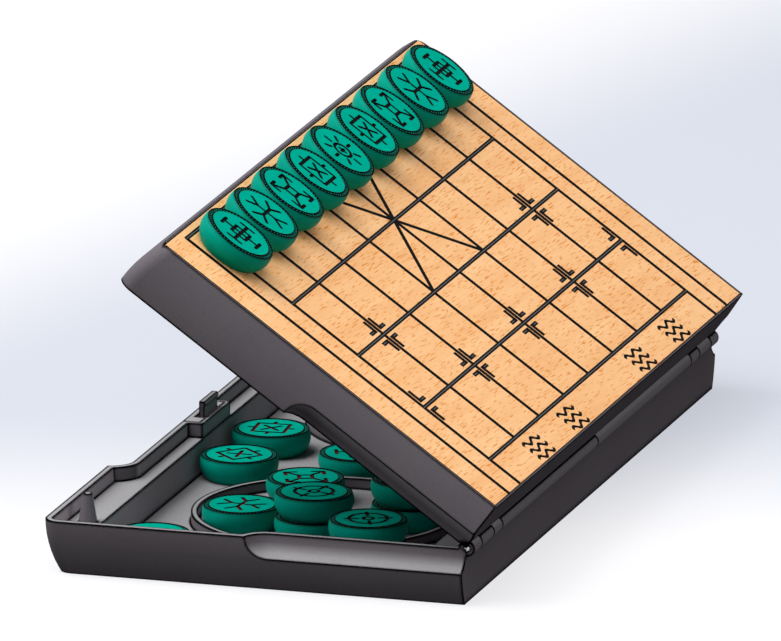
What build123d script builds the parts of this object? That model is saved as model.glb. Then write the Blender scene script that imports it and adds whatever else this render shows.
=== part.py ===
"""A folding xiangqi box with its set of pieces.

Two trays close on each other like a book. The outer face of each tray is half of the board, so the
box opened flat and turned over is the playing surface. The box stands here with its lid part open,
nine pieces on the lid's board and the rest lying in the tray.

The frame: +X along the hinge, +Y from the latch to the hinge, +Z up, with the origin at the centre
of the base's underside. Each tray is drawn in its own hinge frame: x along the hinge, y the distance
from the hinge line towards the latch, z from the parting plane towards that tray's board.
"""

import os
from math import asin, atan2, cos, degrees, radians, sin, sqrt

from build123d import *

# %% Driving dimensions, in millimetres and degrees

open_angle = 35.2  # how far the lid stands open

# the board
file_pitch = 25.0  # between the nine files
rank_pitch = 24.1  # between the ten ranks
end_margin = 25.0  # outermost file to the panel's end
front_margin = 13.15  # first rank to the panel's front edge
line_width = 1.2
frame_margin_x = 11.2  # outermost file to the border line
frame_margin_y = 10.6  # first rank to the border line
tick_gap = 2.3  # middle of a line to the middle of a corner mark beside it
tick_length = 4.3
panel_thickness = 0.8
line_depth = 0.4
panel_clearance = 0.15
steel_thickness = 0.3
steel_inset = 1.0  # steel sheet's edge inside the panel's edge

# the two trays
tray_depth = 14.2
floor_thickness = 0.9
wall = 2.2
hinge_wall = 3.6
wall_curve = 37.8  # radius of the end and front walls in section
corner_radius = 4.6
end_rim = 1.2  # shell showing round the panel at each end
long_rim = 0.6  # shell showing along the panel's front and hinge edges
hinge_gap = 0.15  # each hinge face to the hinge line
parting_gap = 0.05  # each rim to the parting plane
ledge_drop = 4.4  # rim to the ledges
ledge_skin = 1.8
front_ledge = 12.7  # outer front to the front ledge's edge
hinge_ledge = 15.3  # hinge line to the hinge ledge's edge
cell_pitch = 27.0  # hollows under the ledges
cell_count = 8
cell_rib = 1.8
ring_wall = 2.0
ring_height = 3.2
ring_apart = 13.2  # between the two floor rings, past the piece that fits there

# finger grooves in the rims
cove_radius = 6.8
cove_outset = 1.5  # groove's axis outside the end wall
cove_length = 58.4
recess_outset = 1.0  # front groove's axis outside the front wall
recess_length = 119.0
recess_wall = 2.1

# locating posts
post_spacing = 224.0
post_inset = 8.4  # outer front to the post's axis
post_foot = 2.8
post_tip = 1.33
post_height = 8.6
socket_clearance = 0.25
socket_wall = 1.7
socket_sink = 0.6  # socket's bore past the lid's ledge

# hinge
barrel_radius = 2.35
barrel_clearance = 0.3
end_knuckle = 7.8
second_knuckle = 12.0
third_knuckle = 8.6
middle_knuckle = 96.2  # half of the long one
knuckle_clearance = 0.1
pin_radius = 0.8
pin_clearance = 0.05
pin_grip = 20.0  # how far a pin reaches into the long knuckle

# latch
tower_width = 27.2
tower_setback = 0.4  # ledge's edge to the tower
tower_wall = 1.4
tower_rim = 1.0  # wall between the tray and the housing
housing_height = 9.4
housing_clearance = 0.05
lever_width = 12.9
lever_thickness = 1.55
lever_play = 0.3  # each side of the lever in its slot
slot_strip = 0.55  # housing left behind the slot
lever_back = 0.15  # slot's back edge to the lever
pivot_set = 1.0  # lever's back to the pivot's axis
slot_travel = 1.15  # open slot in front of the lever
slot_lip = 1.2
blade_height = 4.6  # above the parting plane
pivot_drop = 2.8
pivot_pin_radius = 0.6
pivot_pin_length = 20.0
pivot_clearance = 0.02
boss_radius = 1.35
barb = 0.45
barb_height = 1.2
button_width = 11.0
button_top = 4.0
button_bottom = 7.2
button_reach = 7.2  # pivot to the button's face
button_crown = 1.0
button_travel = 0.9
spring_gap = 4.4
spring_wire = 0.35
catch_clearance = 0.2
catch_depth = 5.6

# playing pieces
piece_height = 7.2
piece_foot = 9.2
piece_waist = 11.5
piece_waist_height = 4.0
piece_top = 11.05
piece_ring_inner = 9.8
piece_ring_outer = 10.85
piece_ring_depth = 0.3
magnet_radius = 5.0
magnet_thickness = 2.0
magnet_clearance = 0.05
piece_gap = 1.2  # between the pieces lying in a floor ring, and to the ring

# %% Derived sizes

half_height = tray_depth + floor_thickness + steel_thickness + panel_thickness
seat_height = tray_depth + floor_thickness
wall_flare = wall_curve - sqrt(wall_curve**2 - half_height**2)
panel_half = 4 * file_pitch + end_margin
panel_back = hinge_gap + long_rim + panel_clearance
first_rank = 4.5 * rank_pitch
panel_front = first_rank + front_margin
half_length = panel_half + panel_clearance + end_rim + wall_flare
depth = panel_front + panel_clearance + long_rim + wall_flare
ledge_front = depth - front_ledge
cove_axis = half_length + cove_outset
recess_axis = depth + recess_outset
recess_face = recess_axis - cove_radius - recess_wall
knuckles = (end_knuckle, second_knuckle, third_knuckle, middle_knuckle)
barrel_half = sum(knuckles)
circle_radius = 2 * piece_waist + piece_gap
ring_radius = circle_radius + piece_waist + piece_gap + ring_wall
ring_spacing = 2 * (ring_radius + piece_waist) + ring_apart
tower_back = ledge_front + tower_setback
housing_width = tower_width - 2 * tower_wall
housing_back = tower_back + tower_rim
slot_back = housing_back + slot_strip
lever_y = slot_back + lever_back
lever_front = lever_y + lever_thickness
slot_half = lever_width / 2 + lever_play
slot_front = lever_front + slot_travel
pivot_y = lever_y + pivot_set
post_y = depth - post_inset

# %% Frames

hinge_line = (0, depth / 2, half_height)
tilt = radians(open_angle)
base_frame = Plane(hinge_line, x_dir=(1, 0, 0), z_dir=(0, 0, -1))
lid_frame = Plane(hinge_line, x_dir=(-1, 0, 0), z_dir=(0, sin(tilt), cos(tilt)))


def across_length(frame, x=0.0):
    """Section at x along the hinge: its x is the distance from the hinge, its y the height."""
    return Plane(frame.from_local_coords((x, 0, 0)), x_dir=frame.y_dir, z_dir=frame.x_dir)


def across_depth(frame, y=0.0):
    """Section at y from the hinge, facing the hinge: its x is along the hinge, its y the height."""
    return Plane(frame.from_local_coords((0, y, 0)), x_dir=frame.x_dir, z_dir=-frame.y_dir)


# %% Tray mouldings


def barrel(frame, inset, back, height):
    """The solid inside the flared walls, inset from them, from the parting plane to height."""
    curve = wall_curve - inset
    turn = degrees(asin(height / curve))
    with BuildPart() as solid:
        with BuildSketch(across_depth(frame)):
            with BuildLine():
                end = CenterArc((half_length - wall_curve, 0), curve, 0, turn)
                Polyline(end @ 1, (0, height), (0, 0), end @ 0)
            make_face()
            mirror(about=Plane.YZ)
        extrude(amount=-2 * depth)
        with BuildSketch(across_length(frame)):
            with BuildLine():
                front = CenterArc((depth - wall_curve, 0), curve, 0, turn)
                Polyline(front @ 1, (back, height), (back, 0), front @ 0)
            make_face()
        extrude(amount=half_length, both=True, mode=Mode.INTERSECT)
        for side in (-1, 1):
            corner = frame.from_local_coords((side * half_length, depth, height / 2))
            fillet(solid.edges().sort_by_distance(corner)[0], radius=corner_radius - inset)
    return solid.part


def end_coves(frame, radius):
    """The round channels along both ends, from the hinge face forward, closed by a quarter ball."""
    with BuildPart() as coves:
        with BuildSketch(across_depth(frame)):
            with Locations((-cove_axis, 0), (cove_axis, 0)):
                Circle(radius)
        extrude(amount=-cove_length)
        for side in (-1, 1):
            with Locations(frame.from_local_coords((side * cove_axis, cove_length, 0))):
                Sphere(radius)
    return coves.part


def front_cove(frame):
    """The round channel along the middle of the front, with a ball end at each side."""
    with BuildPart() as cove:
        with BuildSketch(across_length(frame)):
            with Locations((recess_axis, 0)):
                Circle(cove_radius)
        extrude(amount=recess_length / 2, both=True)
        for side in (-1, 1):
            with Locations(frame.from_local_coords((side * recess_length / 2, recess_axis, 0))):
                Sphere(cove_radius)
    return cove.part


def tray_space(frame):
    """The hollow of one tray: deep between the ledges, shallow over them, clear of grooves and tower."""
    with BuildPart() as space:
        add(barrel(frame, wall, hinge_wall, tray_depth))
        with BuildSketch(across_length(frame)):
            with BuildLine():
                Polyline(
                    (0, 0),
                    (depth, 0),
                    (depth, ledge_drop),
                    (ledge_front, ledge_drop),
                    (ledge_front, tray_depth),
                    (hinge_ledge, tray_depth),
                    (hinge_ledge, ledge_drop),
                    (0, ledge_drop),
                    close=True,
                )
            make_face()
        extrude(amount=half_length, both=True, mode=Mode.INTERSECT)
        add(end_coves(frame, cove_radius + wall), mode=Mode.SUBTRACT)
        with BuildSketch(frame):
            with Locations((0, recess_axis)):
                SlotCenterToCenter(recess_length, 2 * (cove_radius + recess_wall))
            with Locations((0, (tower_back + depth) / 2)):
                Rectangle(tower_width, depth - tower_back)
        extrude(amount=ledge_drop, mode=Mode.SUBTRACT)
    return space.part


def half_shell(frame):
    """What both trays share: walls, floor, ledges, grooves, panel seat, floor rings and knuckles."""
    own = []
    x = barrel_half
    for number, length in enumerate(knuckles):
        own.append((x - length, x) if number % 2 == 0 else (-x, length - x))
        x -= length
    with BuildPart() as shell:
        add(barrel(frame, 0, hinge_gap, half_height))
        add(tray_space(frame), mode=Mode.SUBTRACT)
        add(end_coves(frame, cove_radius), mode=Mode.SUBTRACT)
        add(front_cove(frame), mode=Mode.SUBTRACT)
        split(bisect_by=frame.offset(parting_gap), keep=Keep.TOP)

        # seat of the steel sheet and the board panel
        with BuildSketch(frame.offset(seat_height)):
            with Locations((0, (panel_back + panel_front) / 2)):
                Rectangle(
                    2 * (panel_half + panel_clearance), panel_front - panel_back + 2 * panel_clearance
                )
        extrude(amount=half_height, mode=Mode.SUBTRACT)

        # hollows under both ledges, with a rib between neighbours
        cell_length = cell_pitch - cell_rib
        cells = [cell_pitch * (number - (cell_count - 1) / 2) for number in range(cell_count)]
        back_width = hinge_ledge - ledge_skin - hinge_wall
        front_width = recess_face + recess_wall - ledge_front - ledge_skin
        with BuildSketch(frame.offset(ledge_drop + ledge_skin)):
            with Locations(*[(x, hinge_wall + back_width / 2) for x in cells]):
                Rectangle(cell_length, back_width)
            beside_latch = [x for x in cells if abs(x) > tower_width / 2 + cell_length / 2]
            with Locations(*[(x, ledge_front + ledge_skin + front_width / 2) for x in beside_latch]):
                Rectangle(cell_length, front_width)
        extrude(amount=half_height, mode=Mode.SUBTRACT)

        # rings on the floor, round the places where pieces are heaped
        with BuildSketch(frame.offset(tray_depth - ring_height)):
            with Locations((-ring_spacing / 2, depth / 2), (ring_spacing / 2, depth / 2)):
                Circle(ring_radius)
                Circle(ring_radius - ring_wall, mode=Mode.SUBTRACT)
        extrude(amount=ring_height)

        # room for the other tray's knuckles, then this tray's own, bored for the pins
        with BuildSketch(across_length(frame)):
            Circle(barrel_radius + barrel_clearance)
        for low, high in own:
            with BuildSketch(across_length(frame, -high)):
                Circle(barrel_radius + barrel_clearance)
            extrude(amount=high - low, mode=Mode.SUBTRACT)
        for low, high in own:
            with BuildSketch(across_length(frame, low + knuckle_clearance)):
                Circle(barrel_radius)
            extrude(amount=high - low - 2 * knuckle_clearance)
        for side in (-1, 1):
            with BuildSketch(across_length(frame, side * barrel_half)):
                Circle(pin_radius + pin_clearance)
            extrude(amount=-side * (sum(knuckles[:3]) + pin_grip), mode=Mode.SUBTRACT)
    return shell.part


def posts():
    """The two locating posts on the base's front ledge, tapered, standing above the parting plane."""
    with BuildPart() as pair:
        for side in (-1, 1):
            for drop, radius in ((ledge_drop, post_foot), (ledge_drop - post_height, post_tip)):
                with BuildSketch(base_frame.offset(drop)):
                    with Locations((side * post_spacing / 2, post_y)):
                        Circle(radius)
            loft()
    return pair.part


with BuildPart() as base_shell:
    add(half_shell(base_frame))
    add(posts())
    # window for the latch housing, open to the rim and to the front
    with BuildSketch(base_frame):
        with Locations((0, (housing_back + recess_axis) / 2)):
            Rectangle(housing_width, recess_axis - housing_back)
    extrude(amount=housing_height, mode=Mode.SUBTRACT)

post_slope = (post_foot - post_tip) / post_height
socket_bore = post_foot - post_slope * ledge_drop + socket_clearance
socket_top = ledge_drop + socket_sink

with BuildPart() as lid_shell:
    add(half_shell(lid_frame))
    # sockets for the base's posts
    with BuildSketch(lid_frame.offset(parting_gap)):
        with Locations((-post_spacing / 2, post_y), (post_spacing / 2, post_y)):
            Circle(socket_bore + socket_wall)
    extrude(amount=ledge_drop - parting_gap)
    with BuildSketch(lid_frame):
        with Locations((-post_spacing / 2, post_y), (post_spacing / 2, post_y)):
            Circle(socket_bore)
    extrude(amount=socket_top, mode=Mode.SUBTRACT)
    # the catch: a mouth for the blade, and a wider room behind the lip for its barb
    mouth_height = blade_height - barb_height - catch_clearance
    for low, high, back in (
        (0, mouth_height, lever_y - catch_clearance),
        (mouth_height, catch_depth, lever_y - barb - catch_clearance),
    ):
        with BuildSketch(lid_frame.offset(low)):
            with Locations((0, (back + slot_front + catch_clearance) / 2)):
                Rectangle(2 * slot_half, slot_front + catch_clearance - back)
        extrude(amount=high - low, mode=Mode.SUBTRACT)

# %% Board halves


def board_grid(frame):
    """Sketch one half of the board's lines: files, ranks, border, palace and corner marks."""
    far_file = 4 * file_pitch
    border_x = far_file + frame_margin_x
    border_y = first_rank + frame_margin_y
    with BuildSketch(frame.offset(half_height)) as grid:
        # files: the outer two run on to the hinge, the inner seven stop at the river
        river = rank_pitch / 2
        for number in range(-4, 5):
            low = panel_back if abs(number) == 4 else river - line_width / 2
            high = first_rank + line_width / 2
            with Locations((number * file_pitch, (low + high) / 2)):
                Rectangle(line_width, high - low)
        # ranks
        for number in range(5):
            with Locations((0, river + number * rank_pitch)):
                Rectangle(2 * far_file + line_width, line_width)
        # border
        high = border_y + line_width / 2
        for side in (-1, 1):
            with Locations((side * border_x, (panel_back + high) / 2)):
                Rectangle(line_width, high - panel_back)
        with Locations((0, border_y)):
            Rectangle(2 * border_x + line_width, line_width)
        # palace diagonals
        span_x, span_y = 2 * file_pitch, 2 * rank_pitch
        for turn in (1, -1):
            with Locations((0, first_rank - rank_pitch)):
                Rectangle(
                    sqrt(span_x**2 + span_y**2), line_width, rotation=turn * degrees(atan2(span_y, span_x))
                )
        # corner marks round the cannon and soldier points
        cannon_rank, soldier_rank = first_rank - 2 * rank_pitch, first_rank - 3 * rank_pitch
        points = [(number * file_pitch, cannon_rank) for number in (-3, 3)]
        points += [(number * file_pitch, soldier_rank) for number in (-4, -2, 0, 2, 4)]
        for x, y in points:
            for across in (-1, 1):
                if abs(x + across * file_pitch) > far_file:
                    continue
                for along in (-1, 1):
                    corner_x, corner_y = x + across * tick_gap, y + along * tick_gap
                    reach = (tick_length - line_width / 2) / 2
                    with Locations((corner_x + across * reach, corner_y)):
                        Rectangle(tick_length + line_width / 2, line_width)
                    with Locations((corner_x, corner_y + along * reach)):
                        Rectangle(line_width, tick_length + line_width / 2)
    return grid.sketch


def half_board(frame, prefix):
    """The panel with its grooves, the lines let into them, and the steel sheet behind the panel."""
    middle = (panel_back + panel_front) / 2
    width = panel_front - panel_back
    lines = board_grid(frame)
    with BuildPart() as panel:
        with BuildSketch(frame.offset(half_height - panel_thickness)):
            with Locations((0, middle)):
                Rectangle(2 * panel_half, width)
        extrude(amount=panel_thickness)
        extrude(lines, amount=line_depth, dir=-frame.z_dir, mode=Mode.SUBTRACT)
    with BuildPart() as grid:
        extrude(lines, amount=line_depth, dir=-frame.z_dir)
    with BuildPart() as steel:
        with BuildSketch(frame.offset(seat_height)):
            with Locations((0, middle)):
                Rectangle(2 * (panel_half - steel_inset), width - 2 * steel_inset)
        extrude(amount=steel_thickness)
    panel.part.label = prefix + "_board"
    grid.part.label = prefix + "_grid"
    steel.part.label = prefix + "_steel_sheet"
    return panel.part, grid.part, steel.part


# %% Hinge pins


def hinge_pin(side):
    """One steel pin, from the end of the barrel into its long knuckle."""
    with BuildPart() as pin:
        with BuildSketch(across_length(base_frame, side * barrel_half)):
            Circle(pin_radius)
        extrude(amount=-side * (sum(knuckles[:3]) + pin_grip - pin_clearance))
        chamfer(pin.edges().filter_by(GeomType.CIRCLE), length=pin_radius / 4)
    return pin.part


# %% Latch: a housing in the base's window, with a sprung lever whose blade hooks into the lid

room_bottom = button_bottom + button_travel

with BuildPart() as latch_housing:
    add(barrel(base_frame, 0, hinge_gap, half_height))
    with BuildSketch(base_frame):
        back = housing_back + housing_clearance
        with Locations((0, (back + depth) / 2)):
            Rectangle(housing_width - 2 * housing_clearance, depth - back)
    extrude(amount=housing_height - housing_clearance, mode=Mode.INTERSECT)
    add(front_cove(base_frame), mode=Mode.SUBTRACT)
    split(bisect_by=base_frame.offset(parting_gap), keep=Keep.TOP)
    # the slot in its top, the room under it, and the window for the button
    for low, high, back, front, half in (
        (0, slot_lip, slot_back, slot_front, slot_half),
        (slot_lip, room_bottom, housing_back, slot_front, slot_half),
        (button_top - lever_play, room_bottom, slot_front, depth, button_width / 2 + lever_play),
    ):
        with BuildSketch(base_frame.offset(low)):
            with Locations((0, (back + front) / 2)):
                Rectangle(2 * half, front - back)
        extrude(amount=high - low, mode=Mode.SUBTRACT)
    with BuildSketch(across_length(base_frame)):
        with Locations((pivot_y, pivot_drop)):
            Circle(pivot_pin_radius + pivot_clearance)
    extrude(amount=pivot_pin_length / 2 + pivot_clearance, both=True, mode=Mode.SUBTRACT)

with BuildPart() as latch_lever:
    with BuildSketch(across_length(base_frame)):
        with BuildLine():
            Polyline(
                (lever_front, -blade_height),
                (lever_front, button_bottom),
                (lever_y, button_bottom),
                (lever_y, barb_height - blade_height),
                (lever_y - barb, barb_height - blade_height),
                (lever_y, -blade_height),
                close=True,
            )
        make_face()
        with Locations((pivot_y, pivot_drop)):
            Circle(boss_radius)
    extrude(amount=lever_width / 2, both=True)
    with BuildSketch(across_length(base_frame)):
        with BuildLine():
            button_face = pivot_y + button_reach
            face = ThreePointArc(
                (button_face - button_crown, button_top),
                (button_face, (button_top + button_bottom) / 2),
                (button_face - button_crown, button_bottom),
            )
            Polyline(face @ 1, (lever_y, button_bottom), (lever_y, button_top), face @ 0)
        make_face()
    extrude(amount=button_width / 2, both=True)
    # the gap for the spring, and the bore for the pin
    with BuildSketch(across_depth(base_frame, housing_back)):
        with Locations((0, pivot_drop)):
            Rectangle(spring_gap, 2 * boss_radius + lever_play)
    extrude(amount=housing_back - slot_front, mode=Mode.SUBTRACT)
    with BuildSketch(across_length(base_frame)):
        with Locations((pivot_y, pivot_drop)):
            Circle(pivot_pin_radius + pin_clearance)
    extrude(amount=lever_width, both=True, mode=Mode.SUBTRACT)

with BuildPart() as latch_pin:
    with BuildSketch(across_length(base_frame)):
        with Locations((pivot_y, pivot_drop)):
            Circle(pivot_pin_radius)
    extrude(amount=pivot_pin_length / 2, both=True)

with BuildPart() as latch_spring:
    coil_radius = pivot_pin_radius + 2 * pin_clearance + spring_wire / 2
    coil_pitch = spring_wire - pivot_clearance  # neighbouring turns touch
    turns = int((spring_gap - 2 * lever_play) / coil_pitch)
    with BuildSketch(across_depth(base_frame, pivot_y)):
        for turn in range(turns):
            with Locations((coil_pitch * (turn - (turns - 1) / 2), pivot_drop + coil_radius)):
                Circle(spring_wire / 2)
    pivot = base_frame.from_local_coords((0, pivot_y, pivot_drop))
    revolve(axis=Axis(pivot, base_frame.x_dir))

# %% Playing pieces


def playing_piece(seat):
    """A barrel-sided disc standing on its seat plane, with a grooved top and a magnet in its foot."""
    with BuildPart() as piece:
        with BuildSketch(Plane(seat.origin, x_dir=seat.x_dir, z_dir=-seat.y_dir)):
            with BuildLine():
                side = ThreePointArc(
                    (piece_foot, 0), (piece_waist, piece_waist_height), (piece_top, piece_height)
                )
                Polyline(
                    side @ 1,
                    (piece_ring_outer, piece_height),
                    (piece_ring_outer, piece_height - piece_ring_depth),
                    (piece_ring_inner, piece_height - piece_ring_depth),
                    (piece_ring_inner, piece_height),
                    (0, piece_height),
                    (0, 0),
                    side @ 0,
                )
            make_face()
        revolve(axis=Axis(seat.origin, seat.z_dir))
        with BuildSketch(seat):
            Circle(magnet_radius + magnet_clearance)
        extrude(amount=magnet_thickness + magnet_clearance, mode=Mode.SUBTRACT)
        with BuildSketch(seat):
            Circle(magnet_radius)
        extrude(amount=magnet_thickness)
    return piece.part


def lid_seat(file):
    """Where a piece stands on the first rank of the lid's board."""
    origin = lid_frame.from_local_coords((file * file_pitch, first_rank, half_height))
    return Plane(origin, x_dir=lid_frame.x_dir, z_dir=lid_frame.z_dir)


def tray_seat(x, y, level):
    """Where a piece lies in the tray, x along the hinge and y from it, on the floor or on others."""
    origin = base_frame.from_local_coords((x, y, tray_depth - level * piece_height))
    return Plane(origin, x_dir=base_frame.x_dir, z_dir=-base_frame.z_dir)


lid_row = ("chariot_1", "horse_1", "elephant_1", "advisor_1", "general",
           "advisor_2", "elephant_2", "horse_2", "chariot_2")  # fmt: skip

# farthest and nearest middle of a piece lying inside and outside a floor ring, from the ring's middle
inside_ring = ring_radius - ring_wall - piece_waist
outside_ring = ring_radius + piece_waist
near_ring, far_ring = ring_spacing / 2, -ring_spacing / 2
# middles of pieces lying against the front ledge, the hinge ledge and an end wall
front_row = ledge_front - piece_waist
hinge_row = hinge_ledge + piece_waist
end_row = half_length - wall_flare - wall - piece_waist


def round_ring(ring, angle, reach):
    """A place in the tray, at an angle and distance from the middle of a floor ring."""
    return ring + reach * cos(radians(angle)), depth / 2 + reach * sin(radians(angle))


# loose heaps in the tray: the names from the bottom up, and the place
heaps = [
    (("red_advisor_1",), (-piece_waist - 1.4, front_row - 0.9)),
    (("red_advisor_2",), (piece_waist + 6.3, front_row - 0.6)),
    (("red_soldier_3",), (end_row - 4.4, front_row - 2.3)),
    (("black_soldier_4",), (-end_row + 2.3, front_row - 1.6)),
    (("black_soldier_5",), (-end_row + 2.3, hinge_row + 1.2)),
    (("red_soldier_5",), (-piece_waist - 0.5, hinge_row + 3.2)),
    (("red_horse_1",), round_ring(near_ring, 56.3, inside_ring - 0.2)),
    (("red_soldier_1", "black_cannon_1"), round_ring(near_ring, -7.7, inside_ring - 5.2)),
    (("red_elephant_1",), round_ring(near_ring, 148.9, inside_ring - 1.8)),
    (("black_soldier_1", "red_general"), round_ring(near_ring, -95.3, inside_ring - 0.3)),
    (("red_soldier_2", "black_cannon_2"), round_ring(near_ring, -30.9, outside_ring + 1.1)),
    (("red_chariot_1",), round_ring(near_ring, 173.4, outside_ring + 1.5)),
    (("red_cannon_1", "black_soldier_2"), round_ring(far_ring, 0, 0)),
]
# six more stand round the last heap
circle = ("red_cannon_2", "red_chariot_2", "red_horse_2",
          "red_elephant_2", "black_soldier_3", "red_soldier_4")  # fmt: skip
for number, name in enumerate(circle):
    angle = 15 + number * 360 / len(circle)
    heaps.append(((name,), round_ring(far_ring, angle, circle_radius)))

# %% Output

os.makedirs("parts", exist_ok=True)

base_shell.part.label = "base_shell"
export_step(base_shell.part, "parts/base_shell.step")
lid_shell.part.label = "lid_shell"
export_step(lid_shell.part, "parts/lid_shell.step")
latch_housing.part.label = "latch_housing"
export_step(latch_housing.part, "parts/latch_housing.step")
latch_lever.part.label = "latch_lever"
export_step(latch_lever.part, "parts/latch_lever.step")
latch_pin.part.label = "latch_pin"
export_step(latch_pin.part, "parts/latch_pin.step")
latch_spring.part.label = "latch_spring"
export_step(latch_spring.part, "parts/latch_spring.step")

for frame, prefix in ((base_frame, "base"), (lid_frame, "lid")):
    for item in half_board(frame, prefix):
        export_step(item, f"parts/{item.label}.step")

for side, name in ((1, "hinge_pin_near"), (-1, "hinge_pin_far")):
    pin = hinge_pin(side)
    pin.label = name
    export_step(pin, f"parts/{name}.step")

for number, name in enumerate(lid_row):
    piece = playing_piece(lid_seat(number - 4))
    piece.label = "black_" + name
    export_step(piece, f"parts/black_{name}.step")

for names, (x, y) in heaps:
    for level, name in enumerate(names):
        piece = playing_piece(tray_seat(x, y, level))
        piece.label = name
        export_step(piece, f"parts/{name}.step")
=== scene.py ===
# %% [markdown]
# # A folding xiangqi box
# Chinese chess is often sold in a flat plastic box. Each half of the box is a shallow tray, and the
# outer face of each tray is half of the board, so the box opened flat and turned over is the game.
# The solid model already has the right sizes and moving parts. This notebook gives it its looks:
# beech panels with inked lines, textured dark plastic, and teal pieces with a beaded rim and a mark
# cut into the top. The first cell loads the solid model, which is called the frame from here on.

# %% Load the frame
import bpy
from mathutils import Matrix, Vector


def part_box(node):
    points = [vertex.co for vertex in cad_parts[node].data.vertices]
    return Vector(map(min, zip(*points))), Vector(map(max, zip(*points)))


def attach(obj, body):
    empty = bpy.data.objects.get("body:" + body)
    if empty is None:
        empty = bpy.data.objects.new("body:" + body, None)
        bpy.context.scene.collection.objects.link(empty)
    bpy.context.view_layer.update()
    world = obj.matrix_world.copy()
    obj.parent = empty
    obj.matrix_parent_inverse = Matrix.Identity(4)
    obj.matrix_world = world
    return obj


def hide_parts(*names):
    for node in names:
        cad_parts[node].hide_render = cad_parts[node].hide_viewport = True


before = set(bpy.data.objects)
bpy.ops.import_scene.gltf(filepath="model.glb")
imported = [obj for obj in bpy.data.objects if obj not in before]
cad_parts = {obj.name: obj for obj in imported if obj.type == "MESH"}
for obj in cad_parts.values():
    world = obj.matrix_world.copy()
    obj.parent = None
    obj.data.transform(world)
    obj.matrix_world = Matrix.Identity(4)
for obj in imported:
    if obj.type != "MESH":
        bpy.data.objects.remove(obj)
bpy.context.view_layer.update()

# %% Modules and units
import random
from math import atan2, cos, hypot, pi, radians, sin

import bmesh
import bpy
from mathutils import Matrix, Vector

MM = 0.001  # the scene is in metres, and the sizes below are in millimetres
random.seed(11)
print("one millimetre is", MM, "m")


# %% [markdown]
# ## Two small helpers
# Colours are written as the hex codes that a paint chart gives. Shaders work with linear light, so
# one function turns a code into that. The other adds a node to any tree, sets it up and links it.

# %% Colour and node helpers
def linear(code):
    """Linear red, green, blue and alpha of an sRGB hex code such as #00b298."""
    parts = [int(code[i : i + 2], 16) / 255 for i in (1, 3, 5)]
    return [p / 12.92 if p <= 0.04045 else ((p + 0.055) / 1.055) ** 2.4 for p in parts] + [1.0]


def add(tree, kind, sockets=None, **settings):
    """Add a node. Settings are its properties, and sockets its inputs' values or what feeds them.

    What feeds an input is an output, or a node, whose first live output is then used. A text that
    starts with # is a colour.
    """
    made = tree.nodes.new(kind)
    for name, value in settings.items():
        setattr(made, name, value)
    for key, value in (sockets or {}).items():
        if isinstance(value, bpy.types.Node):
            value = next(output for output in value.outputs if output.enabled)
        if isinstance(value, bpy.types.NodeSocket):
            tree.links.new(value, made.inputs[key])
        elif isinstance(value, str) and value.startswith("#"):
            made.inputs[key].default_value = linear(value)
        else:
            made.inputs[key].default_value = value
    return made


MATH, VECTOR_MATH = "ShaderNodeMath", "ShaderNodeVectorMath"  # kinds that are used most
print("mid grey is", [round(part, 3) for part in linear("#808080")])

# %% [markdown]
# ## Camera
# The view is almost without perspective, as in a technical picture. An orthographic camera could do
# that, but a very long lens that stands far away keeps the faint narrowing that the eye expects. It
# looks along the box from its near end, a little above the table.

# %% Camera
VIEW_TURN, VIEW_RISE = radians(16.908), radians(14.715)  # from +X towards +Y, and above the table
VIEW_WIDTH = 226.83 * MM
LENS, SENSOR = 1350.0, 36.0  # millimetres, as on a real camera
view_centre = Vector((0.13, 2.37, 47.89)) * MM
view_direction = Vector((cos(VIEW_RISE) * cos(VIEW_TURN), cos(VIEW_RISE) * sin(VIEW_TURN), sin(VIEW_RISE)))

camera = bpy.data.objects.new("camera", bpy.data.cameras.new("camera"))
camera.data.lens = LENS
camera.data.sensor_width = SENSOR
camera.data.clip_end = 100.0
camera.location = view_centre + view_direction * (VIEW_WIDTH * LENS / SENSOR)
camera.rotation_euler = view_direction.to_track_quat("Z", "Y").to_euler()
bpy.context.scene.collection.objects.link(camera)
bpy.context.scene.camera = camera
bpy.context.scene.view_settings.view_transform = "Standard"
print("camera stands", round((camera.location - view_centre).length, 2), "m away")


# %% [markdown]
# ## Light
# Three big soft lamps do the work. The strongest hangs over the box and lights the board. One in
# front, on the latch side, shines in under the open lid. A faint one on the hinge side picks out the
# barrel of the hinge. The walls stay dark, so the board and the pieces stand out.

# %% Soft lamps
def soft_lamp(name, direction, distance, size, level):
    """A square lamp aimed at the box. At level 1 a white sheet that faces it renders as white."""
    lamp = bpy.data.objects.new(name, bpy.data.lights.new(name, "AREA"))
    lamp.data.size = size
    lamp.data.energy = level * (pi * distance) ** 2
    aim = Vector(direction).normalized()
    lamp.location = view_centre + aim * distance
    lamp.rotation_euler = aim.to_track_quat("Z", "Y").to_euler()
    lamp.visible_camera = False
    bpy.context.scene.collection.objects.link(lamp)
    print(name, round(lamp.data.energy, 1), "W")


soft_lamp("lamp_over", (0.15, 0.0, 1.0), 1.6, 1.8, 0.93)
soft_lamp("lamp_front", (0.2, -0.62, 0.8), 1.8, 1.4, 0.9)
soft_lamp("lamp_side", (0.55, 1.0, 0.35), 2.0, 1.0, 0.15)

# %% [markdown]
# The room has two brightnesses: a dim one that lights the box, and a pale one that only the camera
# sees, straight or by a mirror or glass. So the background is white and the box isn't washed out.

# %% Room light and backdrop
ROOM_LIGHT, BACKDROP = 0.3, 0.9


def seen_rays(tree):
    """1 for rays that the camera sees, straight, by a mirror or through glass, and 0 for the others."""
    ray = add(tree, "ShaderNodeLightPath").outputs
    bent = add(tree, MATH, {0: ray["Is Glossy Ray"], 1: ray["Is Transmission Ray"]}, operation="MAXIMUM")
    return add(tree, MATH, {0: ray["Is Camera Ray"], 1: bent}, operation="MAXIMUM")


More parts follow.
